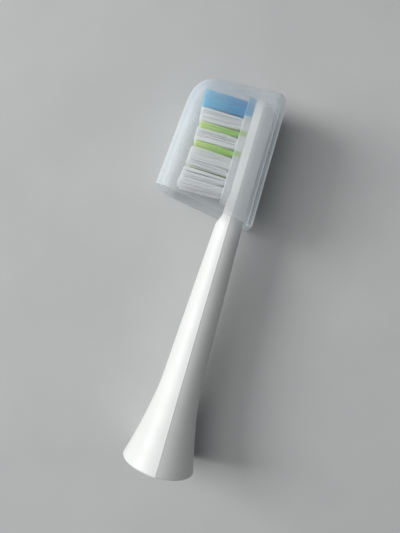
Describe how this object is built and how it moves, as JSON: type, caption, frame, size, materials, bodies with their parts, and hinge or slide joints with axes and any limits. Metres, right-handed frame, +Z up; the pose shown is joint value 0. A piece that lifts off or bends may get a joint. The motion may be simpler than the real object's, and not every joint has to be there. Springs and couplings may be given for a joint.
{
  "type": "electric toothbrush head",
  "caption": "Slip-on sonic toothbrush head with a flared hollow base, slim neck, coloured bristle tufts in a clear plate and a frosted travel cap.",
  "frame": {"origin": "middle of the drive socket's mouth, in the plane of the skirt's rim", "axes": "+X along the drive axis to the brush's tip, +Y the way the bristles point, +Z up as it lies on its side"},
  "size_m": [0.0843, 0.025, 0.0168],
  "materials": {
    "body_white": "glossy moulded",
    "sleeve_grey": "satin moulded",
    "spring_steel": "rolled strip",
    "plate_clear": "clear",
    "bristle_white": "nylon filament",
    "bristle_green": "nylon filament",
    "bristle_blue": "nylon filament",
    "cap_frosted": "frosted translucent"
  },
  "bodies": {
    "brush": {"brush_body": "body_white", "drive_sleeve": "sleeve_grey", "retaining_spring": "spring_steel", "bristle_plate": "plate_clear", "tuft_blue_01": "bristle_blue", "tuft_blue_02": "bristle_blue", "tuft_blue_03": "bristle_blue", "tuft_blue_04": "bristle_blue", "tuft_blue_05": "bristle_blue", "tuft_blue_06": "bristle_blue", "tuft_green_01": "bristle_green", "tuft_green_02": "bristle_green", "tuft_green_03": "bristle_green", "tuft_green_04": "bristle_green", "tuft_green_05": "bristle_green", "tuft_green_06": "bristle_green", "tuft_green_07": "bristle_green", "tuft_green_08": "bristle_green", "tuft_green_09": "bristle_green", "tuft_green_10": "bristle_green", "tuft_white_01": "bristle_white", "tuft_white_02": "bristle_white", "tuft_white_03": "bristle_white", "tuft_white_04": "bristle_white", "tuft_white_05": "bristle_white", "tuft_white_06": "bristle_white", "tuft_white_07": "bristle_white", "tuft_white_08": "bristle_white", "tuft_white_09": "bristle_white", "tuft_white_10": "bristle_white", "tuft_white_11": "bristle_white", "tuft_white_12": "bristle_white", "tuft_white_13": "bristle_white", "tuft_white_14": "bristle_white", "tuft_white_15": "bristle_white", "tuft_white_16": "bristle_white", "tuft_white_17": "bristle_white", "tuft_white_18": "bristle_white", "tuft_white_19": "bristle_white", "tuft_white_20": "bristle_white", "tuft_white_21": "bristle_white", "tuft_white_22": "bristle_white"},
    "cap": {"protective_cap": "cap_frosted"}
  },
  "joints": [
    {"name": "cap_pull", "type": "slide", "parent": "brush", "child": "cap", "axis": [1, 0, 0], "range_m": [0, 0.036]}
  ]
}
